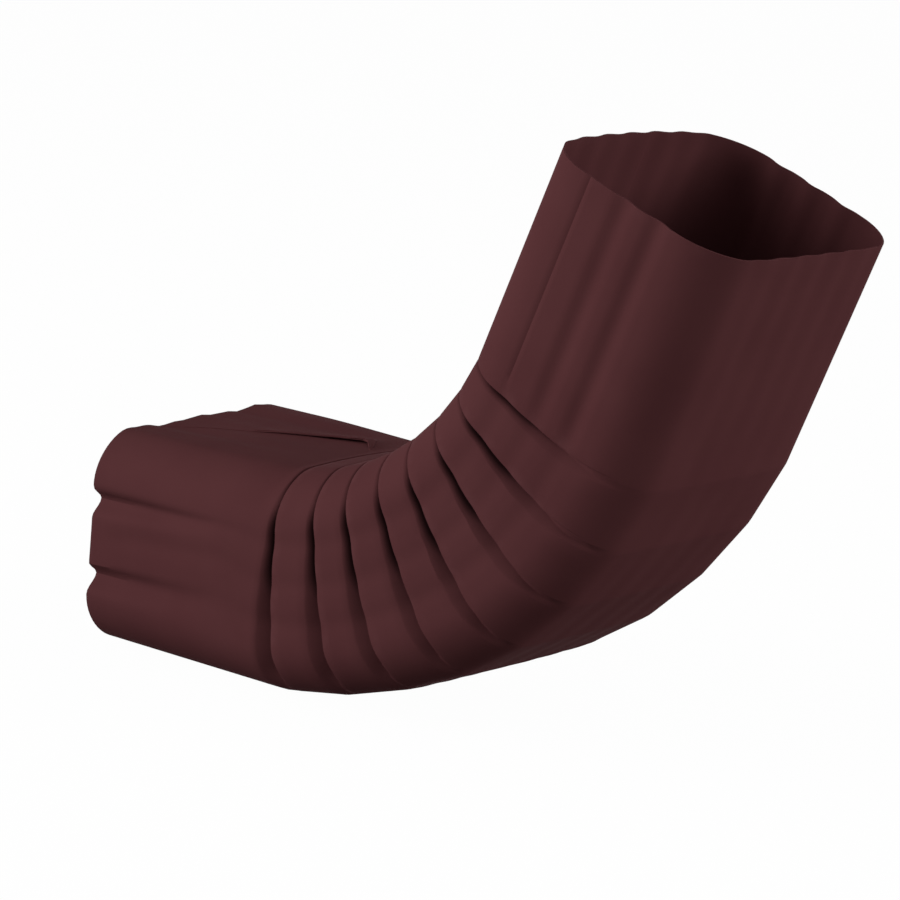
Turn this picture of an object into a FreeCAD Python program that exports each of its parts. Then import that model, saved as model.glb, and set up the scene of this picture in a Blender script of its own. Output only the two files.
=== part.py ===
"""Downspout elbow for nominal 2 x 3 inch rain pipe: one corrugated sheet tube, pleated through its bend.

Millimetres, +Z up. The origin is the middle of the lower mouth. The lower leg runs along +X, the bend
turns up towards +Z, and the width of the pipe lies along Y.
"""
import FreeCAD, Part
import math
import os

# Pipe section, measured over the outside of the sheet
WIDE_SIDE = 82.6
NARROW_SIDE = 59.7
CORNER_RADIUS = 13.5
SIDE_CROWN = 1.55
FACE_CROWN = 0.75
SHEET = 0.5

# Path through the middle of the section
LOWER_LEG = 61.4
UPPER_LEG = 60.8
BAND = 15.07
PLEATS = 8
TURN = 8.8

# Corrugation
SIDE_GROOVE_COUNT = 3
FACE_GROOVE_COUNT = 6
SIDE_GROOVE_SHIFT = 1.0
SIDE_GROOVE_DEPTH = 0.9
SIDE_GROOVE_LAND = 2.0
FACE_GROOVE_DEPTH = 0.35
CRIMP_DEPTH = 3.2
CRIMP_LENGTH = 46.0
GROOVE_START = 6.5
GROOVE_RUN_IN = 4.0

# Lapped seam along the throat face, whose upper layer fades into the far side
SEAM_EDGE = 12.5
SEAM_WIDTH = 12.0
SEAM_STEP = 0.3

# Open end of the lap on the lower leg: distances back from the first pleat, and where the edge lies there
LAP_START = 38.9
LAP_START_EDGE = -3.9
LAP_START_RISE = 0.15
LAP_OPEN = 18.4
LAP_OPEN_EDGE = 7.3
LAP_OPEN_RISE = 1.6
LAP_END = 10.4
LAP_END_EDGE = 10.6
LAP_CLOSE = 7.4

# Pleats: a foot or head is a share of the section's height, from 0 at the heel to 1 at the throat
FOLD_GAP = 0.15
STEP_FOOT = 0.03
DIP_LENGTH = 1.3
DIP_SPREAD = 3.0
TUCK_LENGTH = 0.3
TUCK_SPREAD = 0.8
GAPE = 2.3
GAPE_FOOT = 0.08
GAPE_FULL = 0.7
GAPE_HEAD = 0.88
EDGE_FOOT = 0.6
EDGE_RUN = 0.8
SHEET_LEAD = 0.25

# Shortest edge of the outline, and the half step over which its slope is taken
SHORTEST_EDGE = 0.05
SLOPE_STEP = 0.135

CORNER_WIDTH = WIDE_SIDE - 2 * SIDE_CROWN
CORNER_DEPTH = NARROW_SIDE - 2 * FACE_CROWN
FLAT_FACE = CORNER_WIDTH - 2 * CORNER_RADIUS
FLAT_SIDE = CORNER_DEPTH - 2 * CORNER_RADIUS
QUARTER = math.pi / 2 * CORNER_RADIUS
FOLD_DROP = 2 * SHEET + 2 * FOLD_GAP
PLEAT_TURN = math.radians(TURN)
MITRE = math.tan(PLEAT_TURN / 2)
FOLD_DEPTH = CORNER_DEPTH * math.tan(PLEAT_TURN) / 2
FOLD_FOOT = CORNER_RADIUS / CORNER_DEPTH

# A ruled face takes both of its edges in the direction in which they are drawn
SAME_WAY = 1

# Stretches of the outline, from the near end of the heel round by the near side
STRETCHES = [
    ("corner", QUARTER),
    ("near", FLAT_SIDE),
    ("corner", QUARTER),
    ("throat", FLAT_FACE),
    ("corner", QUARTER),
    ("far", FLAT_SIDE),
    ("corner", QUARTER),
    ("heel", FLAT_FACE),
]
PERIMETER = sum(length for name, length in STRETCHES)

# Corners beside the throat, and corners that follow a face, by their place in the list
THROAT_CORNERS = (2, 4)
AFTER_FACE = (0, 4)


def ramp(low, high, value):
    """Straight ramp from 0 at low to 1 at high."""
    return min(max((value - low) / (high - low), 0.0), 1.0)


def smooth(low, high, value):
    """Smooth ramp from 0 at low to 1 at high."""
    share = ramp(low, high, value)
    return share * share * (3 - 2 * share)


def groove_row(count, pitch, shift=0.0):
    """Middles of a row of grooves across a face."""
    return [shift + (i - (count - 1) / 2) * pitch for i in range(count)]


FACE_PITCH = FLAT_FACE / (FACE_GROOVE_COUNT - 1)
FACE_ROW = groove_row(FACE_GROOVE_COUNT, FACE_PITCH)
FACE_REACH = FLAT_FACE / 2 + FACE_PITCH / 2
SIDE_PITCH = FLAT_SIDE / SIDE_GROOVE_COUNT
SIDE_ROW = groove_row(SIDE_GROOVE_COUNT, SIDE_PITCH, SIDE_GROOVE_SHIFT)
SIDE_HALF = (SIDE_PITCH - SIDE_GROOVE_LAND) / 2
CRIMP_ROW = SIDE_ROW[::2]


def corner_arc(reach):
    """Length along a rounded corner that takes it on by a reach, square to the face that it leaves."""
    return CORNER_RADIUS * math.asin(min(max(reach / CORNER_RADIUS, 0.0), 1.0))


LOBE_ARC = corner_arc(FACE_PITCH / 2)
SLIT_ARC = corner_arc((GAPE_HEAD - 0.5) * CORNER_DEPTH - FLAT_SIDE / 2)


def scallop(place):
    """Share of a face groove's depth at a place: flat rounded lobes that meet in valleys."""
    if abs(place) >= FACE_REACH:
        return 0.0
    away = min(abs(place - middle) for middle in FACE_ROW)
    return (1 - 2 * away / FACE_PITCH) ** 2


def flute(place, row):
    """Share of a side groove's depth at a place: a rounded channel at each middle of a row."""
    away = min(abs(place - middle) for middle in row)
    return (1 + math.cos(math.pi * min(away / SIDE_HALF, 1.0))) / 2


def seam_marks(edge):
    """Places across the throat face at which the seam steps up, stands at full height and has faded."""
    return [edge, edge + SEAM_STEP, edge + SEAM_WIDTH]


def seam_share(place, edge):
    """Share of the seam's height at a place across the throat face."""
    foot, top, end = seam_marks(edge)
    return ramp(foot, top, place) * (1 - smooth(top, end, place))


def rounded_rectangle(place):
    """Face name and (y, h) at a distance round the section's outline, before its faces swell."""
    y, h, heading = -FLAT_FACE / 2, -CORNER_DEPTH / 2, math.pi
    rest = place % PERIMETER
    for name, length in STRETCHES:
        part = min(rest, length)
        if name == "corner":
            turn = part / CORNER_RADIUS
            y += CORNER_RADIUS * (math.sin(heading) - math.sin(heading - turn))
            h += CORNER_RADIUS * (math.cos(heading - turn) - math.cos(heading))
            heading -= turn
        else:
            y += part * math.cos(heading)
            h += part * math.sin(heading)
        rest -= part
        if rest <= 0:
            break
    return name, y, h


def crowned(place):
    """Face name and (y, h) on the outline with its gently swollen faces."""
    name, y, h = rounded_rectangle(place)
    across = 2 * y / CORNER_WIDTH
    up = 2 * h / CORNER_DEPTH
    swell_y = math.copysign(SIDE_CROWN * (1 - up**2) * across**4, y)
    swell_h = math.copysign(FACE_CROWN * (1 - across**2) * up**4, h)
    return name, y + swell_y, h + swell_h


def breaks(edge, grooved_throat):
    """Distances round the outline at which one curve of a section ends and the next begins.

    The edge is the place of the seam across the throat face, or None where the pipe has none.
    """
    places = [0.0]
    start = 0.0
    for i, (name, length) in enumerate(STRETCHES):
        if name == "corner":
            from_face = [LOBE_ARC, length - SLIT_ARC] if i in THROAT_CORNERS else [LOBE_ARC]
            marks = from_face if i in AFTER_FACE else [length - mark for mark in from_face]
        elif name == "heel":
            marks = [length / 2 - middle for middle in FACE_ROW]
        elif name == "throat":
            across = FACE_ROW if grooved_throat else []
            if edge is not None:
                across = across + seam_marks(edge)
            marks = [length / 2 + place for place in across]
        else:
            grooves = [SIDE_ROW[-1]]
            if edge is not None:
                grooves = [middle + end for middle in SIDE_ROW for end in (-SIDE_HALF, 0.0, SIDE_HALF)]
            up = 1 if name == "near" else -1
            marks = [length / 2 + up * place for place in grooves]
        places += [start + mark for mark in sorted(marks) if SHORTEST_EDGE < mark < length - SHORTEST_EDGE]
        start += length
        places.append(start)
    return places


class Trim:
    """Corrugation and seam at one station along the pipe."""

    def __init__(self, side=0.0, crimp=0.0, throat=0.0, seam=0.0, edge=None):
        self.side = side
        self.crimp = crimp
        self.throat = throat
        self.seam = seam
        self.edge = edge
        self.places = breaks(edge, throat > 0)

    def inside(self):
        """The same corrugation on the inside of the sheet, where the seam lies flush."""
        return Trim(self.side, self.crimp, self.throat, 0.0, self.edge)


PLAIN = Trim()
UPPER_PIPE = Trim(side=SIDE_GROOVE_DEPTH, throat=FACE_GROOVE_DEPTH, seam=SHEET, edge=SEAM_EDGE)


def section_point(place, drop, trim):
    """Point (y, h) at a depth below the smooth outline, with the corrugation and seam of a trim."""
    _, y, h = crowned(place)
    _, y0, h0 = crowned(place - SLOPE_STEP)
    _, y1, h1 = crowned(place + SLOPE_STEP)
    size = math.hypot(y1 - y0, h1 - h0)
    out_y, out_h = (h0 - h1) / size, (y1 - y0) / size
    depth = drop
    if abs(out_y) > abs(out_h):
        depth += trim.side * flute(h, SIDE_ROW) + trim.crimp * flute(h, CRIMP_ROW)
    elif out_h < 0:
        depth += FACE_GROOVE_DEPTH * scallop(y)
    else:
        depth += trim.throat * scallop(y)
        if trim.edge is not None:
            depth -= trim.seam * seam_share(y, trim.edge)
    return y - depth * out_y, h - depth * out_h


def path_corners():
    """Corners of the path, one at the middle of each pleat."""
    corners = [FreeCAD.Vector(LOWER_LEG, 0, 0)]
    for i in range(1, PLEATS):
        step = FreeCAD.Vector(math.cos(i * PLEAT_TURN), 0, math.sin(i * PLEAT_TURN))
        corners.append(corners[-1] + step * BAND)
    return corners


CORNERS = path_corners()


def cubic_through(points):
    """Cubic curve through four points at even steps."""
    p0, p1, p2, p3 = points
    pole_1 = (p0 * -5 + p1 * 18 - p2 * 9 + p3 * 2) / 6
    pole_2 = (p0 * 2 - p1 * 9 + p2 * 18 - p3 * 5) / 6
    curve = Part.BezierCurve()
    curve.setPoles([p0, pole_1, pole_2, p3])
    return curve


class Station:
    """One closed chain of curves round the pipe: where it lies along a straight stretch, and how deep."""

    def __init__(self, pleat, after, run, drop, trim=PLAIN, square=False):
        self.pleat = pleat
        self.after = after
        self.run = run
        self.drop = drop
        self.trim = trim
        self.places = trim.places
        self.square = square
        self.curves = [self.drawn(first, last) for first, last in zip(self.places, self.places[1:])]

    def point(self, place):
        """Point in space at a distance round the outline."""
        _, _, base_h = rounded_rectangle(place)
        share = base_h / CORNER_DEPTH + 0.5
        y, h = section_point(place, self.drop(share), self.trim)
        lean = 0 if self.square else h * MITRE
        along = self.run(share) + (lean if self.after else -lean)
        angle = (self.pleat + (1 if self.after else 0)) * PLEAT_TURN
        x = along * math.cos(angle) - h * math.sin(angle)
        z = along * math.sin(angle) + h * math.cos(angle)
        return CORNERS[self.pleat] + FreeCAD.Vector(x, y, z)

    def drawn(self, first, last):
        """Curve between two distances round the outline."""
        return cubic_through([self.point(first + (last - first) * k / 3) for k in range(4)])

    def pieces(self, places):
        """The station's curves, split at a finer list of distances where one is given."""
        if len(places) == len(self.places):
            return self.curves
        split = []
        for first, last in zip(places, places[1:]):
            middle = (first + last) / 2
            i = max(k for k, place in enumerate(self.places) if place < middle)
            start, length = self.places[i], self.places[i + 1] - self.places[i]
            marks = [(first + (last - first) * k / 3 - start) / length for k in range(4)]
            split.append(cubic_through([self.curves[i].value(mark) for mark in marks]))
        return split


def folded(share):
    """1 where the sheet is folded over itself, fading to 0 at the heel."""
    return smooth(STEP_FOOT, FOLD_FOOT, share)


def overlap(share):
    """Length of the hidden fold at a height: it takes up what the throat is shorter by."""
    return FOLD_DEPTH * max(0.0, share - FOLD_FOOT) / (1 - FOLD_FOOT)


def gaping(share):
    """Share of the side slit's opening at a height."""
    return smooth(GAPE_FOOT, GAPE_FULL, share) * (1 - smooth(GAPE_FULL, GAPE_HEAD, share))


def blend(low, high, share):
    """Value between one below the fold's foot and one above it."""
    weight = folded(share)
    return low * (1 - weight) + high * weight


def dip(share):
    """Distance before the edge at which a band begins to sink."""
    return DIP_LENGTH + DIP_SPREAD * gaping(share)


def tuck(share):
    """Distance before the edge at which a band has sunk fully."""
    return TUCK_LENGTH + TUCK_SPREAD * gaping(share)


def sunk(share):
    """Depth to which the end of a band sinks before the next one."""
    return FOLD_DROP * folded(share) + GAPE * gaping(share)


def pleat_outside(pleat):
    """Outside of one pleat: the band sinks, runs under, doubles back and turns up into the next edge."""
    return [
        Station(pleat, False, lambda s: -dip(s), lambda s: 0.0),
        Station(pleat, False, lambda s: -tuck(s), sunk),
        Station(pleat, True, overlap, lambda s: (FOLD_DROP - FOLD_GAP / 2) * folded(s)),
        Station(pleat, True, lambda s: blend(EDGE_FOOT, 0, s), lambda s: (FOLD_DROP - FOLD_GAP) * folded(s)),
        Station(pleat, True, lambda s: blend(EDGE_FOOT + EDGE_RUN, 0, s), lambda s: 0.0),
    ]


def pleat_inside(pleat):
    """Inside of one pleat, a sheet's thickness from its outside."""
    lead = SHEET * SHEET_LEAD
    foot = EDGE_FOOT + 2 * lead
    return [
        Station(pleat, False, lambda s: -dip(s) - lead, lambda s: SHEET),
        Station(pleat, False, lambda s: -tuck(s) - lead, lambda s: SHEET + sunk(s)),
        Station(
            pleat,
            True,
            lambda s: blend(foot, overlap(s) + SHEET, s),
            lambda s: SHEET + FOLD_DROP * folded(s),
        ),
        Station(
            pleat,
            True,
            lambda s: blend(foot + EDGE_RUN, overlap(s) + SHEET, s),
            lambda s: SHEET + FOLD_GAP * folded(s),
        ),
        Station(
            pleat,
            True,
            lambda s: blend(foot + 2 * EDGE_RUN, SHEET, s),
            lambda s: SHEET + FOLD_GAP / 2 * folded(s),
        ),
    ]


def lower_leg(drop, inside):
    """Stations of the lower leg, whose crimps and open lap end before the bend."""
    laps = [
        (LOWER_LEG, SEAM_EDGE, SHEET),
        (LAP_START, LAP_START_EDGE, LAP_START_RISE),
        (LAP_OPEN, LAP_OPEN_EDGE, LAP_OPEN_RISE),
        (LAP_END, LAP_END_EDGE, SHEET),
    ]
    stations = []
    for back, edge, rise in laps:
        crimp = CRIMP_DEPTH * (1 - ramp(0, CRIMP_LENGTH, LOWER_LEG - back))
        trim = Trim(crimp=crimp, seam=rise, edge=edge)
        shown = trim.inside() if inside else trim
        stations.append(Station(0, False, lambda s, back=back: -back, drop, shown, True))
    stations.append(Station(0, False, lambda s: -LAP_CLOSE, drop, PLAIN, True))
    return stations


def upper_leg(drop, inside):
    """Stations of the upper leg, whose grooves start past the last fold and run to the mouth."""
    trim = UPPER_PIPE.inside() if inside else UPPER_PIPE
    last = PLEATS - 1
    full = GROOVE_START + GROOVE_RUN_IN
    return [
        Station(last, True, lambda s: GROOVE_START, drop),
        Station(last, True, lambda s: full, drop, trim),
        Station(last, True, lambda s: UPPER_LEG, drop, trim, True),
    ]


def skin(stations):
    """Faces of one side of the sheet, of straight lines between neighbouring stations."""
    faces = []
    for first, second in zip(stations, stations[1:]):
        places = max(first.places, second.places, key=len)
        for a, b in zip(first.pieces(places), second.pieces(places)):
            faces.append(Part.makeRuledSurface(a.toShape(), b.toShape(), SAME_WAY))
    return faces


def rim(outer, inner):
    """Flat cut edge of the sheet round one mouth."""
    outline = Part.Wire([curve.toShape() for curve in outer.curves])
    hole = Part.Wire([curve.toShape() for curve in inner.curves])
    hole.reverse()
    return Part.Face([outline, hole])


def elbow():
    """The whole elbow as one solid sheet."""
    outside = lower_leg(lambda s: 0.0, False)
    inside = lower_leg(lambda s: SHEET, True)
    for pleat in range(PLEATS):
        outside += pleat_outside(pleat)
        inside += pleat_inside(pleat)
    outside += upper_leg(lambda s: 0.0, False)
    inside += upper_leg(lambda s: SHEET, True)
    rims = [rim(outside[0], inside[0]), rim(outside[-1], inside[-1])]
    shell = Part.makeCompound(skin(outside) + skin(inside) + rims)
    shell.sewShape()
    solid = Part.makeSolid(shell.Shells[0])
    if solid.Volume < 0:
        solid.reverse()
    return solid


os.makedirs("parts", exist_ok=True)
part = elbow()
part.exportStep("parts/elbow.step")
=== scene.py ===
"""Dresses the packed downspout elbow: a fine pleated sheet, its satin paint, soft light and the camera.

Everything is in the part's own frame. The sheet is worked out in millimetres and drawn in metres: the
lower leg runs along +X from the origin, the bend turns up to +Z, and the pipe is wide along Y.
"""

import logging
import math
from dataclasses import astuple, dataclass, field
from enum import Enum
from typing import List, NamedTuple, Sequence, Tuple

import bmesh
import bpy
import numpy as np
from mathutils import Matrix


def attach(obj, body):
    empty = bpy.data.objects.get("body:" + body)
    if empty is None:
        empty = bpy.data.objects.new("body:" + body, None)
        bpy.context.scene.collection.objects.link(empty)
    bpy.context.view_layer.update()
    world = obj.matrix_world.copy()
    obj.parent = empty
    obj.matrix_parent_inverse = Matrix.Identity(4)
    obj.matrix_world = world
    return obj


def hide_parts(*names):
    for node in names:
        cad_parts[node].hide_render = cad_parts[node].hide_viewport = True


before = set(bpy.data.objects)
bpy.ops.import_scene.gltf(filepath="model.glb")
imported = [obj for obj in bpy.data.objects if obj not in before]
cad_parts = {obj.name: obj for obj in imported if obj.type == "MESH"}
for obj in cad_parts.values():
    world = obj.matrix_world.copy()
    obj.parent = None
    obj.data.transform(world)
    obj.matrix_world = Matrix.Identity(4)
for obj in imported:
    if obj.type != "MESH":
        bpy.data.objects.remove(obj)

LOG = logging.getLogger("downspout_elbow")
MM = 0.001
Triple = Tuple[float, float, float]
Span = Tuple[float, float]


class Side(Enum):
    """Stretches of the pipe's outline."""

    CORNER = "corner"
    NEAR = "near"
    THROAT = "throat"
    FAR = "far"
    HEEL = "heel"

    @property
    def is_flank(self) -> bool:
        """Whether the stretch is one of the pipe's two narrow sides."""
        return self in (Side.NEAR, Side.FAR)


class HemPoint(NamedTuple):
    """One column of the open lap: its place across from the flap's edge, and its level.

    The level is the one with the lap closed, and the lift is the share of the gap under the flap that is
    added to it: 0 on the lower layer and 1 on the flap.
    """

    across: float
    level: float
    lift: float


# Columns of the lapped seam: the lower layer in under the flap, back along its hem and up round its edge
LAP_PROFILE: List[HemPoint] = [
    HemPoint(-0.25, 0.0, 0.0),
    HemPoint(0.9, 0.0, 0.0),
    HemPoint(3.6, -0.05, 0.0),
    HemPoint(3.9, 0.0, 0.35),
    HemPoint(3.6, 0.05, 0.7),
    HemPoint(0.3, 0.05, 1.0),
    HemPoint(0.06, 0.18, 1.0),
    HemPoint(0.0, 0.38, 1.0),
    HemPoint(0.06, 0.56, 1.0),
    HemPoint(0.3, 0.65, 1.0),
]


@dataclass(frozen=True)
class LapPlace:
    """The seam at one place along a leg: its edge across the throat and how it stands there.

    The step is the height of a closed seam, the lap says how far the seam is an open lap in place of that
    step, and the gap is the room under the flap.
    """

    x: float
    edge: float
    step: float = 0.1
    lap: float = 1.0
    gap: float = 0.0


# Course of the seam from the rim: a low step, then an open lap that runs back across the throat face
LAP_COURSE: List[LapPlace] = [
    LapPlace(0.0, -16.0, step=0.15, lap=0.0),
    LapPlace(22.5, -3.9, step=0.12, lap=0.1),
    LapPlace(27.0, -1.6, lap=0.6, gap=0.05),
    LapPlace(33.5, 1.7, gap=0.2),
    LapPlace(43.0, 7.3, gap=0.5),
    LapPlace(51.0, 10.6, gap=0.5),
    LapPlace(55.0, 6.5, lap=0.6, gap=0.2),
    LapPlace(57.0, 4.4, step=0.0, lap=0.0),
]

# Shares of a band's rolled end, and degrees round the next band's nose, at which a pleat has a ring
ROLL_SHARES = (0.0, 0.15, 0.35, 0.55, 0.72, 0.85, 0.94, 1.0)
NOSE_ANGLES = (-50, -15, 15, 50, 90)


def ramp(low: float, high: float, value: np.ndarray) -> np.ndarray:
    """Straight ramp from 0 at low to 1 at high."""
    return np.clip((np.asarray(value, float) - low) / (high - low), 0.0, 1.0)


def smooth(low: float, high: float, value: np.ndarray) -> np.ndarray:
    """Smooth ramp from 0 at low to 1 at high."""
    share = ramp(low, high, value)
    return share * share * (3 - 2 * share)


def rounded(away: np.ndarray) -> np.ndarray:
    """Round hump: 1 at no distance, falling to 0 at a distance of 1 and beyond."""
    return (1 + np.cos(math.pi * np.clip(np.abs(away), 0.0, 1.0))) / 2


@dataclass
class PipeOutline:
    """Columns of the sheet round the pipe's rounded rectangular section, in millimetres.

    They run up the near side, across the throat, down the far side and back along the heel. From the middle
    of the section, y is a place across the pipe and h a height towards the throat. The seam's columns start
    by its lead before its edge, so that where it is closed it is a gentle step.
    """

    wide_side: float = 82.6
    narrow_side: float = 59.7
    corner_radius: float = 13.5
    side_crown: float = 1.55
    face_crown: float = 0.75
    crown_power: int = 4
    face_grooves: int = 6
    side_groove_row: Triple = (11.4, 1.0, -9.4)
    side_groove_half: float = 4.2
    sharp_middle: float = 12.5
    sharp_half: float = 0.9
    crimp_row: Span = (10.8, -10.2)
    crimp_above: float = 3.4
    crimp_below: float = 5.2
    seam_edge: float = 8.0
    seam_lead: float = 4.2
    lap_spacing: float = 0.12
    face_step: float = 1.6
    side_step: float = 1.0
    slope_step: float = 0.135

    def __post_init__(self) -> None:
        """Works out the flats, the stretches and every column."""
        self.corner_width = self.wide_side - 2 * self.side_crown
        self.corner_depth = self.narrow_side - 2 * self.face_crown
        self.flat_face = self.corner_width - 2 * self.corner_radius
        self.flat_side = self.corner_depth - 2 * self.corner_radius
        self.pitch = self.flat_face / (self.face_grooves - 1)
        self.face_reach = self.flat_face / 2 + self.pitch / 2
        quarter = math.pi / 2 * self.corner_radius
        self.stretches: List[Tuple[Side, float]] = []
        for side in (Side.NEAR, Side.THROAT, Side.FAR, Side.HEEL):
            flat = self.flat_side if side.is_flank else self.flat_face
            self.stretches += [(Side.CORNER, quarter), (side, flat)]
        self.perimeter = sum(length for _, length in self.stretches)
        throat_start = 2 * quarter + self.flat_side
        self.seam_place = throat_start + self.flat_face / 2 + self.seam_edge
        self._draw(self._places())
        self._mark_faces()
        self._mark_grooves()

    def base(self, place: float) -> Tuple[Side, float, float]:
        """Finds a point of the outline before its faces swell.

        Args:
            place: distance round the outline.

        Returns:
            The stretch that the point is on, its y and its h.
        """
        y, h, heading = -self.flat_face / 2, -self.corner_depth / 2, math.pi
        rest = place % self.perimeter
        side = Side.CORNER
        for side, length in self.stretches:
            part = min(rest, length)
            if side is Side.CORNER:
                turn = part / self.corner_radius
                y += self.corner_radius * (math.sin(heading) - math.sin(heading - turn))
                h += self.corner_radius * (math.cos(heading - turn) - math.cos(heading))
                heading -= turn
            else:
                y += part * math.cos(heading)
                h += part * math.sin(heading)
            rest -= part
            if rest <= 0:
                break
        return side, y, h

    def crowned(self, place: float) -> Tuple[Side, float, float]:
        """Finds a point of the outline with its gently swollen faces.

        Args:
            place: distance round the outline.

        Returns:
            The stretch that the point is on, its y and its h.
        """
        side, y, h = self.base(place)
        across = 2 * y / self.corner_width
        up = 2 * h / self.corner_depth
        swell_y = math.copysign(self.side_crown * (1 - up**2) * across**self.crown_power, y)
        swell_h = math.copysign(self.face_crown * (1 - across**2) * up**self.crown_power, h)
        return side, y + swell_y, h + swell_h

    def wave(self, y: np.ndarray) -> np.ndarray:
        """Share of a face groove's depth at each place across the pipe: soft even waves."""
        turns = (y + self.flat_face / 2) / self.pitch
        return (np.abs(y) < self.face_reach) * (1 + np.cos(2 * math.pi * turns)) / 2

    def _marks(self) -> List[float]:
        """Lists the places that a column must stand on.

        Returns:
            The ends of the stretches, the crimps' middles and the sharp crease's lines, in order.
        """
        sharp = [self.sharp_middle + self.sharp_half * k for k in (-1, 0, 1)]
        marks = [0.0]
        for side, length in self.stretches:
            start = marks[-1]
            if side.is_flank:
                up = 1 if side is Side.NEAR else -1
                row = sorted(length / 2 + up * h for h in (*sharp, *self.crimp_row))
                marks += [start + mark for mark in row if 0 < mark < length]
            marks.append(start + length)
        return marks

    def _places(self) -> List[float]:
        """Spreads the columns between the marks, closely set at the seam's edge.

        Returns:
            Distance of each column round the outline, in order.
        """
        places: List[float] = []
        marks = self._marks()
        for first, last in zip(marks, marks[1:]):
            side = self.base((first + last) / 2)[0]
            step = self.side_step if side.is_flank else self.face_step
            count = max(1, round((last - first) / step))
            places += [first + (last - first) * k / count for k in range(count)]
        reach = self.lap_spacing * (len(LAP_PROFILE) - 1) / 2
        places = [place for place in places if abs(place - self.seam_place) > reach + self.lap_spacing]
        places += [self.seam_place - reach + self.lap_spacing * k for k in range(len(LAP_PROFILE))]
        return sorted(places)

    def _draw(self, places: List[float]) -> None:
        """Works out each column's point and outward direction, and which columns make the seam.

        Args:
            places: distance of each column round the outline.
        """
        rows = [self.crowned(place) for place in places]
        before = [self.crowned(place - self.slope_step) for place in places]
        after = [self.crowned(place + self.slope_step) for place in places]
        self.count = len(places)
        self.sides = [row[0] for row in rows]
        self.y = np.array([row[1] for row in rows])
        self.h = np.array([row[2] for row in rows])
        run_y = np.array([b[1] - a[1] for a, b in zip(before, after)])
        run_h = np.array([b[2] - a[2] for a, b in zip(before, after)])
        size = np.hypot(run_y, run_h)
        self.out_y = -run_h / size
        self.out_h = run_y / size
        base_h = np.array([self.base(place)[2] for place in places])
        self.share = (base_h + self.corner_depth / 2) / self.corner_depth
        seam_start = self.seam_place - self.seam_lead
        first = int(np.argmin(np.abs(np.array(places) - seam_start)))
        self.seam = slice(first, first + len(LAP_PROFILE))

    def _mark_faces(self) -> None:
        """Works out how far each column belongs to the flanks, the throat and the heel."""
        self.on_flank = np.array([float(side.is_flank) for side in self.sides])
        self.on_near = np.array([float(side is Side.NEAR) for side in self.sides])
        self.on_throat = np.array([float(side is Side.THROAT) for side in self.sides])
        self.to_throat = np.maximum(0.0, self.out_h)
        self.to_heel = np.maximum(0.0, -self.out_h)
        self.flank_hump = self.on_flank * (1 - (2 * self.h / self.flat_side) ** 2)
        hump_half = self.flat_face / 2 + self.corner_radius / 2
        across = np.clip(np.abs(self.y) / hump_half, 0, 1)
        self.throat_hump = (self.out_h > 0) * (1 - across**2)

    def _mark_grooves(self) -> None:
        """Works out the share of each kind of groove's depth at each column."""
        half = self.side_groove_half
        top, *lower = self.side_groove_row
        sharp = np.maximum(0.0, 1 - np.abs(self.h - self.sharp_middle) / self.sharp_half)
        self.crease_row = self.on_near * sharp
        self.soft_row = self.on_flank * self._channels(lower, half, half)
        self.soft_row += (self.on_flank - self.on_near) * self._channels([top], half, half)
        self.all_row = self.on_flank * self._channels(self.side_groove_row, half, half)
        self.crimp = self.on_flank * self._channels(self.crimp_row, self.crimp_above, self.crimp_below)
        self.throat_half = (self.out_h > 0) * (1 - self.on_flank)
        heel_half = (self.out_h < 0) * (1 - self.on_flank)
        self.throat_groove = self.throat_half * self.wave(self.y)
        self.heel_groove = heel_half * self.wave(self.y)

    def _channels(self, middles: Sequence[float], above: float, below: float) -> np.ndarray:
        """Works out the depth of a row of rounded channels.

        Args:
            middles: height of each channel's middle.
            above: half width of a channel above its middle.
            below: half width of a channel below its middle.

        Returns:
            Share of a channel's full depth at each column.
        """
        depth = np.zeros(self.count)
        for middle in middles:
            away = self.h - middle
            depth = np.maximum(depth, rounded(away / np.where(away > 0, above, below)))
        return depth


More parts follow.
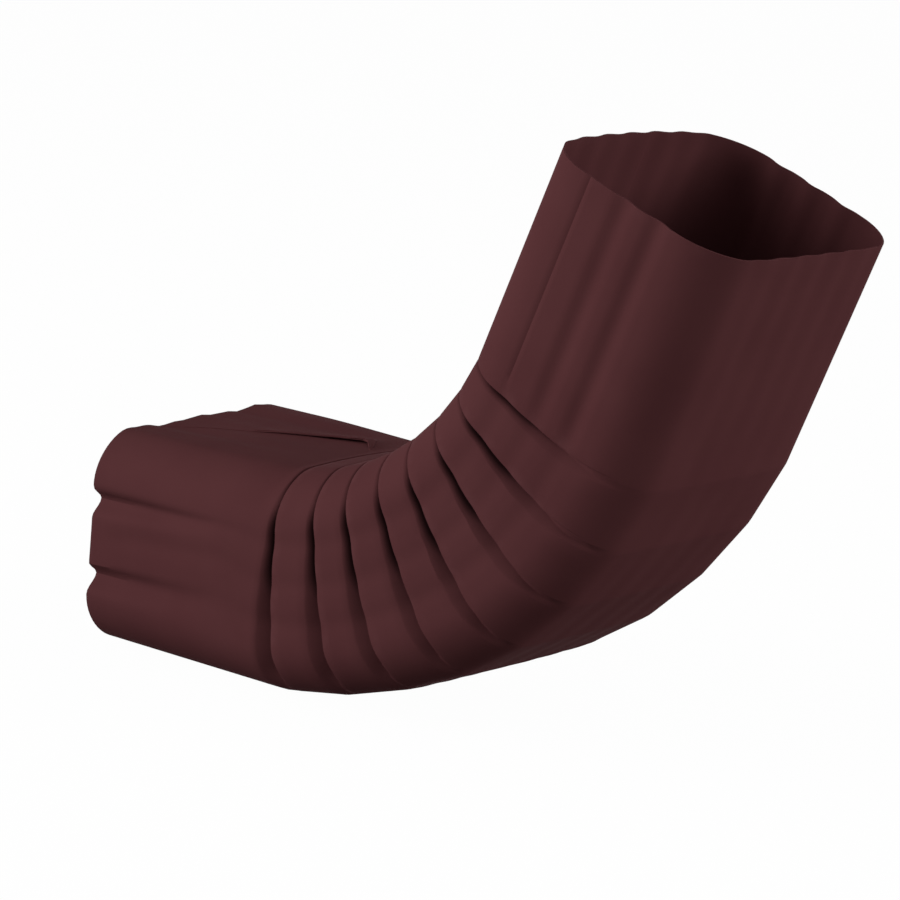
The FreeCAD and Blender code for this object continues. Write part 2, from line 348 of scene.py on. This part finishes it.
@dataclass
class FoldForm:
    """How a pleat's fold stands at each column, in millimetres.

    The band before the fold dips over some length into a slit that gapes, and stops a short tuck before the
    next band's edge. Heights in the section, such as the share of each column, the foot of the folds and all
    spans, go from 0 at the heel to 1 at the throat. A step is what a size gains from each pleat to the next,
    and edge_shift and gape_share have one value for each pleat.
    """

    share: np.ndarray
    foot: float
    foot_start: float = 0.03
    foot_step: float = 0.012
    edge_shift: Tuple[float, ...] = (3.6, 3.95, 2.65, 2.05, 1.15, 1.1, 0.95, 0.1)
    edge_bow: float = 0.7
    edge_bow_middle: float = 0.5
    edge_bow_span: Span = (0.45, 0.8)
    dip_length: float = 0.9
    dip_spread: float = 4.9
    dip_spread_step: float = -0.3
    dip_span: Span = (0.25, 0.95)
    dip_power: float = 0.75
    dip_foot_narrow: float = 0.75
    dip_foot_span: Span = (0.1, 0.34)
    tuck_length: float = 0.1
    tuck_spread: float = 0.8
    tuck_spread_step: float = -0.02
    tuck_head: Span = (0.7, 0.88)
    roll_power: float = 1.2
    roll_blend: float = 0.85
    roll_span: Span = (0.28, 0.7)
    gape_depth: float = 3.0
    gape_share: Tuple[float, ...] = (1.1, 1.1, 1.2, 1.25, 1.5, 1.5, 1.35, 0.5)
    gape_low: float = 0.7
    gape_low_step: float = -0.09
    gape_head: Span = (0.76, 0.88)
    gape_fall: Span = (0.28, 0.62)
    gape_foot: Span = (0.0, 0.12)
    # Heights over which painted shade comes into the slits
    shading_heights: Span = (0.38, 0.6)

    def gaping(self, corner: int) -> np.ndarray:
        """Works out how deep the side slit is, which is flatter low down in the later pleats.

        Args:
            corner: number of the pleat, from 0.

        Returns:
            Share of the slit's full depth at each column.
        """
        low = self.gape_low + self.gape_low_step * corner
        fall = low + (1 - low) * smooth(*self.gape_fall, self.share)
        ends = (1 - smooth(*self.gape_head, self.share)) * smooth(*self.gape_foot, self.share)
        return self.gape_share[corner] * fall * ends

    def slit_shading(self, corner: int) -> np.ndarray:
        """How much painted shade darkens the slit at each column, deeper where it gapes and higher up."""
        return self.gaping(corner) * smooth(*self.shading_heights, self.share)

    def folded(self, corner: int) -> np.ndarray:
        """1 where the sheet is folded over itself, fading to 0 at the heel, sooner in the later pleats."""
        later = self.foot_step * corner
        return smooth(self.foot_start + later / 2, self.foot + later, self.share)

    def dip(self, corner: int) -> np.ndarray:
        """Works out the length over which the band's end dips, longer low down.

        Args:
            corner: number of the pleat, from 0.

        Returns:
            Length of the dip at each column.
        """
        reach = self.dip_spread + self.dip_spread_step * corner
        later = self.dip_foot_narrow * corner / (len(self.edge_shift) - 1)
        narrowed = 1 - later * (1 - smooth(*self.dip_foot_span, self.share))
        spread = (1 - ramp(*self.dip_span, self.share)) ** self.dip_power
        return self.dip_length + reach * narrowed * spread

    def tuck(self, corner: int) -> np.ndarray:
        """Distance before the next band's edge at which the dip ends."""
        reach = self.tuck_spread + self.tuck_spread_step * corner
        return self.tuck_length + reach * (1 - smooth(*self.tuck_head, self.share))

    def edge(self, corner: int) -> np.ndarray:
        """Run from the mitre plane at which the next band's edge lies."""
        bow = self.edge_bow * (smooth(*self.edge_bow_span, self.share) - self.edge_bow_middle)
        return self.edge_shift[corner] + bow

    def rolled(self, t: float) -> np.ndarray:
        """Share of the slit's depth at a share of the dip: a slope low down, a round edge above."""
        blend = self.roll_blend * smooth(*self.roll_span, self.share)
        return (1 - blend) * t**self.roll_power + blend * (1 - math.sqrt(1 - t * t))


class FoldStep(NamedTuple):
    """One ring inside a fold: its run from the next band's edge, its depth and how bare it is."""

    run: np.ndarray
    drop: np.ndarray
    bare: float = 0.0


@dataclass
class Ring:
    """One closed row of the sheet's points in space, with how bare it is and how much painted shade it takes
    in a fold.
    """

    points: np.ndarray
    bare: np.ndarray = field(default_factory=lambda: np.zeros(1))
    painted_shade: np.ndarray = field(default_factory=lambda: np.zeros(1))


@dataclass
class ElbowSheet:
    """The elbow's one folded sheet, from the crimped lower mouth to the plain upper mouth.

    Sizes are in millimetres, and the turn is in degrees for each pleat.
    """

    outline: PipeOutline = field(default_factory=PipeOutline)
    sheet: float = 0.5
    lower_leg: float = 61.4
    upper_leg: float = 60.8
    band: float = 15.07
    pleats: int = 8
    turn: float = 8.8
    crimp_depth: float = 3.2
    crimp_length: float = 46.0
    crimp_drift: float = 3.4
    crimp_drift_end: Span = (0.8, 1.0)
    middle_depth: float = 0.4
    middle_run_in: Span = (2.0, 14.0)
    lobe_sag: float = 0.7
    crease_depth: float = 0.4
    soft_depth: float = 0.95
    face_depth: float = 0.4
    bend_face_depth: float = 0.12
    band_depth: float = 0.3
    throat_wave: float = 0.6
    groove_run_in: float = 5.0
    fold_gap: float = 0.15
    under_share: float = 0.45
    under_drop: float = 0.35
    back_share: float = 0.6
    edge_foot: float = 0.5
    edge_step: float = 0.12
    seam_width: float = 12.0
    upper_seam: float = 0.15
    bend_swell: float = 0.7
    mouth_swell: float = 1.8
    heel_swell: Tuple[float, ...] = (-0.1, -0.4, -0.4, 0.2, 0.7, 0.75, 0.75, 0.6)
    heel_mouth_swell: float = 0.3
    mouth_rise: float = 0.15
    mouth_tilt: float = 0.018
    rim_sag: float = 1.2
    rim_sag_middle: float = -15.0
    rim_sag_half: float = 15.0
    rim_sag_fade: Span = (0.0, 0.7)
    far_lift: float = 1.0
    far_lift_start: Span = (17.0, 22.0)
    far_lift_fade: Span = (0.3, 1.0)
    rim_wear: float = 0.3
    fold_wear: float = 0.5
    smooth_angle: float = 32.0
    lower_rings: int = 36
    band_rings: int = 4
    upper_rings: int = 22

    def __post_init__(self) -> None:
        """Works out the pleats' sizes and the corners of the path."""
        out = self.outline
        self.face_fade = self.face_depth - self.bend_face_depth
        self.fold_drop = 2 * self.sheet + 2 * self.fold_gap
        self.pleat_turn = math.radians(self.turn)
        self.mitre = math.tan(self.pleat_turn / 2)
        self.fold = FoldForm(out.share, out.corner_radius / out.corner_depth)
        fold_depth = out.corner_depth * math.tan(self.pleat_turn) / 2
        above_foot = np.maximum(0.0, out.share - self.fold.foot) / (1 - self.fold.foot)
        self.overlap = fold_depth * above_foot
        self.corners = [np.array([self.lower_leg, 0.0, 0.0])]
        for i in range(1, self.pleats):
            angle = i * self.pleat_turn
            step = np.array([math.cos(angle), 0.0, math.sin(angle)])
            self.corners.append(self.corners[-1] + step * self.band)

    @staticmethod
    def seam_at(x: float) -> LapPlace:
        """Finds the seam at a place along the lower leg.

        Args:
            x: distance from the lower mouth.

        Returns:
            The seam there, between the places of its course.
        """
        places, *columns = np.array([astuple(place) for place in LAP_COURSE]).T
        return LapPlace(x, *(float(np.interp(x, places, column)) for column in columns))

    def seamed_y(self, seam: LapPlace) -> np.ndarray:
        """Works out where each column lies across the pipe.

        Args:
            seam: the seam, whose edge draws the throat's columns along with it.

        Returns:
            y of each column on the smooth outline.
        """
        out = self.outline
        half = out.flat_face / 2
        wide_y = np.interp(out.y, [-half, out.seam_edge, half], [-half, seam.edge, half])
        return np.where(out.on_throat > 0, wide_y, out.y)

    def section(self, depth: np.ndarray, seam: LapPlace) -> Tuple[np.ndarray, np.ndarray]:
        """Draws one section of the sheet.

        Args:
            depth: depth of each column below the smooth outline.
            seam: where the seam's edge lies, and how it stands.

        Returns:
            y and h of each column.
        """
        out = self.outline
        base_y = self.seamed_y(seam)
        hem_across, hem_level, hem_lift = np.array(LAP_PROFILE).T
        open_level = hem_level + hem_lift * seam.gap
        shut_level = np.linspace(0.0, 1.0, len(LAP_PROFILE)) * seam.step
        level = (1 - seam.lap) * shut_level + seam.lap * open_level
        across = base_y - seam.edge
        beyond = out.on_throat * (across > 0) * (1 - smooth(0.0, self.seam_width, across))
        y = base_y - depth * out.out_y
        h = out.h - depth * out.out_h
        seam_h = h[out.seam] + level
        h = h + beyond * level[-1] * out.out_h
        y[out.seam] = base_y[out.seam] + seam.lap * (hem_across - across[out.seam])
        h[out.seam] = seam_h
        return y, h

    def in_space(
        self, corner: int, after: bool, along: np.ndarray, y: np.ndarray, h: np.ndarray
    ) -> np.ndarray:
        """Places a section on a straight stretch of the path.

        Args:
            corner: number of the path's corner, from 0.
            after: whether the stretch is the one after the corner, or else the one before it.
            along: distance of each column from the corner along the stretch.
            y: place of each column across the pipe.
            h: height of each column.

        Returns:
            The columns' points.
        """
        angle = (corner + int(after)) * self.pleat_turn
        x = along * math.cos(angle) - h * math.sin(angle)
        z = along * math.sin(angle) + h * math.cos(angle)
        return self.corners[corner] + np.stack([x, y, z], axis=1)

    def pleat_ring(self, corner: int, run: np.ndarray, drop: np.ndarray) -> np.ndarray:
        """Draws one ring of a pleat.

        Args:
            corner: number of the pleat, from 0.
            run: distance of each column from the mitre plane.
            drop: depth of each column below the band's face.

        Returns:
            The ring's points.
        """
        out = self.outline
        depth = drop + self.bend_face_depth * out.heel_groove + self.band_depth * out.all_row
        depth = depth - self.bend_swell * out.throat_hump - self.heel_swell[corner] * out.to_heel
        y, h = self.section(depth, LAP_COURSE[-1])
        lean = h * self.mitre
        before = self.in_space(corner, False, run - lean, y, h)
        beyond = self.in_space(corner, True, run + lean, y, h)
        return np.where((run > 0)[:, None], beyond, before)

    def fold_steps(self, under: np.ndarray, sunk: np.ndarray, folded: np.ndarray) -> List[FoldStep]:
        """Works out how the sheet runs under the next band, doubles back and turns up round its edge.

        Args:
            under: depth of the layer under the next band.
            sunk: depth of the slit's bottom.
            folded: 1 where the sheet is folded over itself.

        Returns:
            The fold's rings, from the slit to the next band's face.
        """
        nose = (self.fold_drop - self.fold_gap) / 2
        back = 2 * nose * folded
        steps = [
            FoldStep(self.under_share * self.overlap, under + self.under_drop * (sunk - under)),
            FoldStep(self.overlap, under - self.fold_gap / 2 * folded),
            FoldStep(self.back_share * self.overlap + nose, back),
            FoldStep(np.full_like(under, nose), back),
        ]
        for angle in NOSE_ANGLES:
            turn = math.radians(angle)
            run = np.full_like(under, nose - nose * math.cos(turn))
            steps.append(FoldStep(run, back / 2 * (1 - math.sin(turn)), max(0.0, math.sin(turn))))
        return steps

    def pleat(self, corner: int) -> List[Ring]:
        """Draws one pleat.

        Args:
            corner: number of the pleat, from 0.

        Returns:
            The pleat's rings, from the end of the band before it to the edge of the next one.
        """
        fold = self.fold
        # Painted shade: each ring is painted darker as far as it sinks into the slit
        slit_shading = fold.slit_shading(corner)
        folded = fold.folded(corner)
        edge = fold.edge(corner)
        dip = fold.dip(corner)
        tuck = fold.tuck(corner)
        under = self.fold_drop * folded
        sunk = under + fold.gape_depth * fold.gaping(corner)
        rings = []
        for t in ROLL_SHARES:
            run = edge - dip + (dip - tuck) * t
            sink = fold.rolled(t)
            rings.append(Ring(self.pleat_ring(corner, run, sunk * sink), painted_shade=sink * slit_shading))
        for i, step in enumerate(self.fold_steps(under, sunk, folded)):
            flat_run = self.edge_foot + self.edge_step * i
            run = edge + flat_run * (1 - folded) + step.run * folded
            points = self.pleat_ring(corner, run, step.drop)
            rings.append(Ring(points, self.fold_wear * step.bare * folded, (1 - step.bare) * slit_shading))
        return rings

    def rim_form(self, t: float, y: np.ndarray) -> np.ndarray:
        """Works out how the lower leg's throat face sags on the near side and lifts on the far side.

        Args:
            t: share of the way along the leg.
            y: place of each column across the pipe.

        Returns:
            How far each column stands out from its plain form.
        """
        sag = self.rim_sag * rounded((y - self.rim_sag_middle) / self.rim_sag_half)
        lift = self.far_lift * smooth(*self.far_lift_start, y)
        sag = sag * (1 - smooth(*self.rim_sag_fade, t))
        lift = lift * (1 - smooth(*self.far_lift_fade, t))
        return (lift - sag) * self.outline.to_throat

    def lower_depth(self, t: float, x: np.ndarray, seam: LapPlace) -> np.ndarray:
        """Works out how deep the lower leg's sheet lies, with crimps that fade into the bend's grooves.

        Args:
            t: share of the way along the leg.
            x: distance of each column from the lower mouth.
            seam: the seam there.

        Returns:
            Depth of each column below the smooth outline.
        """
        out = self.outline
        base_y = self.seamed_y(seam)
        fade = np.clip(1 - x / self.crimp_length, 0, 1)
        middle = self.middle_depth * smooth(*self.middle_run_in, x) * out.all_row
        depth = fade * (self.crimp_depth * out.crimp + middle * (1 - out.crimp))
        depth = depth + self.band_depth * (1 - fade) * out.all_row
        depth = depth + self.lobe_sag * fade * out.flank_hump
        depth = depth + (self.bend_face_depth + self.face_fade * (1 - t)) * out.heel_groove
        depth = depth + self.face_depth * (1 - t) * out.wave(base_y) * out.throat_half
        swell = self.bend_swell * out.throat_hump + self.heel_swell[0] * out.to_heel
        return depth - self.rim_form(t, base_y) - t * swell

    def lower(self) -> List[Ring]:
        """Draws the lower leg.

        Returns:
            Its rings, from the crimped mouth to the first pleat.
        """
        out = self.outline
        end = self.pleat(0)[0].points[:, 0]
        throat_end = float(end[out.seam].mean())
        rings = []
        for i in range(self.lower_rings):
            t = i / self.lower_rings
            x = t * end
            seam = self.seam_at(t * throat_end)
            y, h = self.section(self.lower_depth(t, x, seam), seam)
            drift = self.crimp_drift * np.clip(x / self.crimp_length, 0, 1)
            h = h + drift * out.flank_hump * (1 - smooth(*self.crimp_drift_end, t))
            wear = np.full(out.count, 0.0 if i else self.rim_wear)
            rings.append(Ring(np.stack([x, y, h], axis=1), wear))
        return rings

    def upper_depth(self, t: float, rise: float) -> np.ndarray:
        """Works out how deep the upper leg's sheet lies, with grooves that run in after the last fold.

        Args:
            t: share of the way along the leg.
            rise: share of the grooves' full depth.

        Returns:
            Depth of each column below the smooth outline.
        """
        out = self.outline
        depth = self.band_depth * (1 - rise) * out.all_row
        depth = depth + rise * (self.crease_depth * out.crease_row + self.soft_depth * out.soft_row)
        depth = depth + (self.bend_face_depth + self.face_fade * t) * out.heel_groove
        depth = depth + self.throat_wave * rise * out.throat_groove
        throat_swell = (1 - t) * self.bend_swell + t * self.mouth_swell
        heel_swell = (1 - t) * self.heel_swell[-1] + t * self.heel_mouth_swell
        return depth - throat_swell * out.throat_hump - heel_swell * out.to_heel

    def upper(self) -> List[Ring]:
        """Draws the upper leg.

        Returns:
            Its rings, from the last pleat to the plain mouth.
        """
        out = self.outline
        last = self.pleats - 1
        start = self.fold.edge(last) + self.edge_foot
        rings = []
        for i in range(1, self.upper_rings + 1):
            t = i / self.upper_rings
            length = t * self.upper_leg
            rise = float(smooth(0.0, self.groove_run_in, length))
            seam = LapPlace(length, out.seam_edge, step=rise * self.upper_seam, lap=0.0)
            y, h = self.section(self.upper_depth(t, rise), seam)
            run = length + (1 - t) * (h * self.mitre + start)
            run = run + t * (self.mouth_rise + self.mouth_tilt * h)
            wear = np.full(out.count, self.rim_wear if i == self.upper_rings else 0.0)
            rings.append(Ring(self.in_space(last, True, run, y, h), wear))
        return rings

    def all_rings(self) -> List[Ring]:
        """Draws the whole sheet.

        Returns:
            Every ring from the lower mouth to the upper one.
        """
        rings = self.lower()
        for corner in range(self.pleats):
            fold = self.pleat(corner)
            if corner:
                first, last = rings[-1].points, fold[0].points
                shares = [k / self.band_rings for k in range(1, self.band_rings)]
                rings += [Ring(first + (last - first) * t) for t in shares]
            rings += fold
        return rings + self.upper()

    def build(self) -> bpy.types.Object:
        """Models the sheet ring by ring from a circle, then gives it its thickness.

        Returns:
            The finished sheet, at the origin.
        """
        rings = self.all_rings()
        count = self.outline.count
        bpy.ops.object.select_all(action="DESELECT")
        bpy.ops.mesh.primitive_circle_add(vertices=count, radius=self.outline.wide_side * MM / 2)
        obj = bpy.context.active_object
        obj.name = "elbow_sheet"
        obj.data.name = "elbow_sheet"
        bpy.ops.object.mode_set(mode="EDIT")
        bpy.ops.mesh.select_all(action="SELECT")
        order = list(range(count))
        self._place(obj, order, rings[0].points)
        for n, ring in enumerate(rings[1:], start=1):
            bpy.ops.mesh.extrude_edges_move(TRANSFORM_OT_translate={"value": (0, 0, 0)})
            order = self._next_order(obj, order, n * count)
            self._place(obj, order, ring.points)
        bpy.ops.mesh.select_all(action="SELECT")
        if not self._faces_out(obj):
            bpy.ops.mesh.flip_normals()
        bpy.ops.object.mode_set(mode="OBJECT")
        self._mark(obj, rings)
        wall = obj.modifiers.new("sheet thickness", "SOLIDIFY")
        wall.thickness = self.sheet * MM
        wall.offset = -1.0
        wall.use_even_offset = False
        bpy.ops.object.modifier_apply(modifier=wall.name)
        bpy.ops.object.shade_smooth_by_angle(angle=math.radians(self.smooth_angle))
        return obj

    @staticmethod
    def _place(obj: bpy.types.Object, order: List[int], points: np.ndarray) -> None:
        """Moves the vertices of one ring to its points.

        Args:
            obj: the sheet, in edit mode.
            order: number of each of the ring's vertices.
            points: the ring's points, in millimetres.
        """
        mesh = bmesh.from_edit_mesh(obj.data)
        mesh.verts.ensure_lookup_table()
        for index, point in zip(order, points):
            mesh.verts[index].co = point * MM
        bmesh.update_edit_mesh(obj.data)

    @staticmethod
    def _next_order(obj: bpy.types.Object, order: List[int], first: int) -> List[int]:
        """Finds the vertices that were extruded from a ring.

        Args:
            obj: the sheet, in edit mode.
            order: number of each vertex of the ring that was extruded.
            first: lowest number of the new vertices.

        Returns:
            Number of each new vertex, in the ring's order.
        """
        mesh = bmesh.from_edit_mesh(obj.data)
        mesh.verts.index_update()
        mesh.verts.ensure_lookup_table()
        found = []
        for index in order:
            vert = mesh.verts[index]
            ends = [edge.other_vert(vert).index for edge in vert.link_edges]
            found.append(next(end for end in ends if end >= first))
        return found

    def _faces_out(self, obj: bpy.types.Object) -> bool:
        """Tells which way the lower mouth's faces point.

        Args:
            obj: the sheet, in edit mode.

        Returns:
            Whether they point away from the leg's middle.
        """
        mesh = bmesh.from_edit_mesh(obj.data)
        mesh.faces.ensure_lookup_table()
        lean = 0.0
        for face in mesh.faces[: self.outline.count]:
            centre = face.calc_center_median()
            lean += centre.y * face.normal.y + centre.z * face.normal.z
        return lean > 0

    def _mark(self, obj: bpy.types.Object, rings: List[Ring]) -> None:
        """Keeps on the mesh how bare each point is rubbed, and how much painted shade it takes in a fold.

        Args:
            obj: the sheet, before it has its thickness.
            rings: its rings, in the order of its vertices.
        """
        bare = [ring.bare for ring in rings]
        painted_shade = [ring.painted_shade for ring in rings]
        # The fold attribute holds painted shade for the slits; bare_edge holds real wear
        for name, rows in (("bare_edge", bare), ("painted_fold_shade", painted_shade)):
            values = np.concatenate([np.broadcast_to(row, self.outline.count) for row in rows])
            layer = obj.data.attributes.new(name, "FLOAT", "POINT")
            layer.data.foreach_set("value", values.astype(np.float32))


@dataclass(frozen=True)
class SatinPaint:
    """Satin paint on sheet metal: its colour, faint clouds, wear on the edges and painted shade in the
    folds' slits.
    """

    name: str = "satin_maroon_paint"
    colour: Triple = (0.0845, 0.0285, 0.0306)
    dark: Triple = (0.0780, 0.0258, 0.0280)
    worn: Triple = (0.105, 0.039, 0.042)
    # Dark colour painted into the slits as their shade
    shade_colour: Triple = (0.030, 0.0115, 0.0123)
    roughness: float = 0.7
    gloss: float = 0.004
    cloud_scale: float = 38.0
    cloud_detail: float = 3.0
    cloud_span: Span = (0.35, 0.6)
    wear_scale: float = 260.0
    wear_detail: float = 2.0
    wear_span: Span = (0.45, 0.75)
    # Span of the fold mark over which the painted slit shade comes in
    shade_span: Span = (0.12, 0.45)
    grain_scale: float = 900.0
    grain_detail: float = 2.0
    grain_strength: float = 0.05
    grain_height: float = 0.0004

    def make(self) -> bpy.types.Material:
        """Makes the material.

        Returns:
            The paint.
        """
        material = bpy.data.materials.new(self.name)
        material.use_nodes = True
        tree = material.node_tree
        shader = tree.nodes["Principled BSDF"]
        shader.inputs["Roughness"].default_value = self.roughness
        shader.inputs["Specular IOR Level"].default_value = self.gloss
        where = tree.nodes.new("ShaderNodeTexCoord").outputs["Object"]
        cloud = self._noise(tree, where, self.cloud_scale, self.cloud_detail)
        tone = self._laid_over(tree, self._stretched(tree, cloud, self.cloud_span), self.colour)
        tone.inputs["A"].default_value = (*self.dark, 1)
        patches = self._noise(tree, where, self.wear_scale, self.wear_detail)
        wear = tree.nodes.new("ShaderNodeMath")
        wear.operation = "MULTIPLY"
        tree.links.new(self._kept(tree, "bare_edge"), wear.inputs[0])
        tree.links.new(self._stretched(tree, patches, self.wear_span), wear.inputs[1])
        rubbed = self._laid_over(tree, wear.outputs[0], self.worn)
        tree.links.new(tone.outputs["Result"], rubbed.inputs["A"])
        # Painted shade: the slits are darkened towards the shade colour by the fold mark
        painted_fold_shade = self._kept(tree, "painted_fold_shade")
        shaded = self._laid_over(tree, self._stretched(tree, painted_fold_shade, self.shade_span), self.shade_colour)
        tree.links.new(rubbed.outputs["Result"], shaded.inputs["A"])
        tree.links.new(shaded.outputs["Result"], shader.inputs["Base Color"])
        specks = self._noise(tree, where, self.grain_scale, self.grain_detail)
        grain = tree.nodes.new("ShaderNodeBump")
        grain.inputs["Strength"].default_value = self.grain_strength
        grain.inputs["Distance"].default_value = self.grain_height
        tree.links.new(specks, grain.inputs["Height"])
        tree.links.new(grain.outputs["Normal"], shader.inputs["Normal"])
        return material

    @staticmethod
    def _kept(tree: bpy.types.NodeTree, name: str) -> bpy.types.NodeSocket:
        """Reads a value that is kept on the mesh.

        Args:
            tree: the paint's nodes.
            name: name of the mesh's attribute.

        Returns:
            Socket of the value.
        """
        kept = tree.nodes.new("ShaderNodeAttribute")
        kept.attribute_name = name
        return kept.outputs["Fac"]

    @staticmethod
    def _laid_over(tree: bpy.types.NodeTree, share: bpy.types.NodeSocket, tint: Triple) -> bpy.types.Node:
        """Lays a tint over another colour.

        Args:
            tree: the paint's nodes.
            share: how much of the tint shows.
            tint: the colour on top.

        Returns:
            The mix, whose colour A is the one below.
        """
        mix = tree.nodes.new("ShaderNodeMix")
        mix.data_type = "RGBA"
        tree.links.new(share, mix.inputs["Factor"])
        mix.inputs["B"].default_value = (*tint, 1)
        return mix

    @staticmethod
    def _noise(
        tree: bpy.types.NodeTree, where: bpy.types.NodeSocket, scale: float, detail: float
    ) -> bpy.types.NodeSocket:
        """Makes noise on the part's own coordinates.

        Args:
            tree: the paint's nodes.
            where: socket of the coordinates.
            scale: how fine the noise is, per metre.
            detail: number of its finer layers.

        Returns:
            Socket of the noise.
        """
        noise = tree.nodes.new("ShaderNodeTexNoise")
        noise.inputs["Scale"].default_value = scale
        noise.inputs["Detail"].default_value = detail
        tree.links.new(where, noise.inputs["Vector"])
        return noise.outputs["Fac"]

    @staticmethod
    def _stretched(
        tree: bpy.types.NodeTree, value: bpy.types.NodeSocket, span: Span
    ) -> bpy.types.NodeSocket:
        """Stretches a span of a value to 0 and 1.

        Args:
            tree: the paint's nodes.
            value: socket of the value.
            span: the values that become 0 and 1.

        Returns:
            Socket of the stretched value.
        """
        stretch = tree.nodes.new("ShaderNodeMapRange")
        stretch.inputs["From Min"].default_value = span[0]
        stretch.inputs["From Max"].default_value = span[1]
        tree.links.new(value, stretch.inputs["Value"])
        return stretch.outputs["Result"]


@dataclass(frozen=True)
class SoftLamp:
    """A square soft lamp that faces a point, in metres and watts."""

    name: str
    place: Triple
    aim: Triple
    size: float
    power: float

    def make(self) -> None:
        """Makes the lamp and turns it to its aim."""
        lamp = bpy.data.lights.new(self.name, "AREA")
        lamp.size = self.size
        lamp.energy = self.power
        obj = bpy.data.objects.new(self.name, lamp)
        bpy.context.scene.collection.objects.link(obj)
        back = np.array(self.place) - np.array(self.aim)
        back = back / np.linalg.norm(back)
        right = np.cross([0, 0, 1], back)
        right = right / np.linalg.norm(right)
        up = np.cross(back, right)
        turn = Matrix([[right[i], up[i], back[i]] for i in range(3)]).to_4x4()
        obj.matrix_world = Matrix.Translation(self.place) @ turn


@dataclass
class Studio:
    """Plain pale floor, white surroundings, soft lamps and the camera."""

    floor_level: float = -0.0306
    floor_size: float = 8.0
    floor_bounce: float = 0.15
    floor_tone: float = 0.9
    floor_glow: float = 0.98
    ambient: float = 0.29
    key_lamp: SoftLamp = SoftLamp("key_lamp", (-0.65, -1.15, 0.44), (0.09, 0.0, 0.04), size=1.0, power=20.5)
    fill_lamp: SoftLamp = SoftLamp("fill_lamp", (1.4, 0.5, 0.35), (0.12, 0.0, 0.04), size=1.0, power=16.0)
    camera_place: Triple = (0.6077, -0.6861, 0.2126)
    camera_right: Triple = (0.78285, 0.61611, 0.08702)
    camera_up: Triple = (-0.19113, 0.10502, 0.97594)
    camera_back: Triple = (0.59214, -0.78064, 0.19998)
    camera_nearest: float = 0.01
    lens: float = 134.92
    sensor: float = 36.0

    def build(self) -> None:
        """Makes the floor, the surroundings, the lamps and the camera."""
        self._floor()
        self._surroundings()
        self.key_lamp.make()
        self.fill_lamp.make()
        self._camera()

    @staticmethod
    def _seen(tree: bpy.types.NodeTree) -> bpy.types.NodeSocket:
        """Tells the rays that see a thing plainly from those that carry light.

        Args:
            tree: the nodes of a material or of the surroundings.

        Returns:
            Socket that is 1 for rays from the camera, in gloss or through glass.
        """
        path = tree.nodes.new("ShaderNodeLightPath")
        seen = path.outputs["Is Camera Ray"]
        for name in ("Is Glossy Ray", "Is Transmission Ray"):
            either = tree.nodes.new("ShaderNodeMath")
            either.operation = "MAXIMUM"
            tree.links.new(seen, either.inputs[0])
            tree.links.new(path.outputs[name], either.inputs[1])
            seen = either.outputs[0]
        return seen

    def _floor(self) -> None:
        """Lays a pale floor that keeps the part's soft shadow and glows white for the eye."""
        bpy.ops.object.select_all(action="DESELECT")
        bpy.ops.mesh.primitive_plane_add(size=self.floor_size, location=(0, 0, self.floor_level))
        floor = bpy.context.active_object
        floor.name = "floor"
        material = bpy.data.materials.new("pale_floor")
        material.use_nodes = True
        tree = material.node_tree
        tree.nodes.clear()
        seen = self._seen(tree)
        tone = tree.nodes.new("ShaderNodeMapRange")
        tone.inputs["To Min"].default_value = self.floor_bounce
        tone.inputs["To Max"].default_value = self.floor_tone
        tree.links.new(seen, tone.inputs["Value"])
        matt = tree.nodes.new("ShaderNodeBsdfDiffuse")
        tree.links.new(tone.outputs["Result"], matt.inputs["Color"])
        share = tree.nodes.new("ShaderNodeMath")
        share.operation = "MULTIPLY"
        share.inputs[1].default_value = self.floor_glow
        tree.links.new(seen, share.inputs[0])
        glow = tree.nodes.new("ShaderNodeEmission")
        mix = tree.nodes.new("ShaderNodeMixShader")
        tree.links.new(share.outputs[0], mix.inputs["Fac"])
        tree.links.new(matt.outputs["BSDF"], mix.inputs[1])
        tree.links.new(glow.outputs["Emission"], mix.inputs[2])
        output = tree.nodes.new("ShaderNodeOutputMaterial")
        tree.links.new(mix.outputs["Shader"], output.inputs["Surface"])
        floor.data.materials.append(material)

    def _surroundings(self) -> None:
        """Makes the room white to look at, with a plain soft light on the part."""
        world = bpy.data.worlds.new("white_room")
        bpy.context.scene.world = world
        world.use_nodes = True
        tree = world.node_tree
        back = tree.nodes["Background"]
        strength = tree.nodes.new("ShaderNodeMapRange")
        strength.inputs["To Min"].default_value = self.ambient
        strength.inputs["To Max"].default_value = 1.0
        tree.links.new(self._seen(tree), strength.inputs["Value"])
        tree.links.new(strength.outputs["Result"], back.inputs["Strength"])
        back.inputs["Color"].default_value = (1, 1, 1, 1)

    def _camera(self) -> None:
        """Sets the camera at the photograph's place, turn and lens."""
        camera = bpy.data.cameras.new("photo_camera")
        camera.sensor_width = self.sensor
        camera.lens = self.lens
        camera.clip_start = self.camera_nearest
        obj = bpy.data.objects.new("photo_camera", camera)
        bpy.context.scene.collection.objects.link(obj)
        columns = (self.camera_right, self.camera_up, self.camera_back)
        turn = Matrix([[column[i] for column in columns] for i in range(3)]).to_4x4()
        obj.matrix_world = Matrix.Translation(self.camera_place) @ turn
        bpy.context.scene.camera = obj


def main() -> None:
    """Builds the sheet, its paint and the studio, and hides the packed part's mesh but keeps it in the
    scene.
    """
    logging.basicConfig(level=logging.INFO)
    bpy.context.scene.view_settings.view_transform = "Standard"
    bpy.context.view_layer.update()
    sheet = ElbowSheet().build()
    sheet.data.materials.append(SatinPaint().make())
    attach(sheet, "root")
    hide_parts("elbow")
    LOG.info("%s: %d faces", sheet.name, len(sheet.data.polygons))
    Studio().build()


if __name__ == "__main__":
    main()
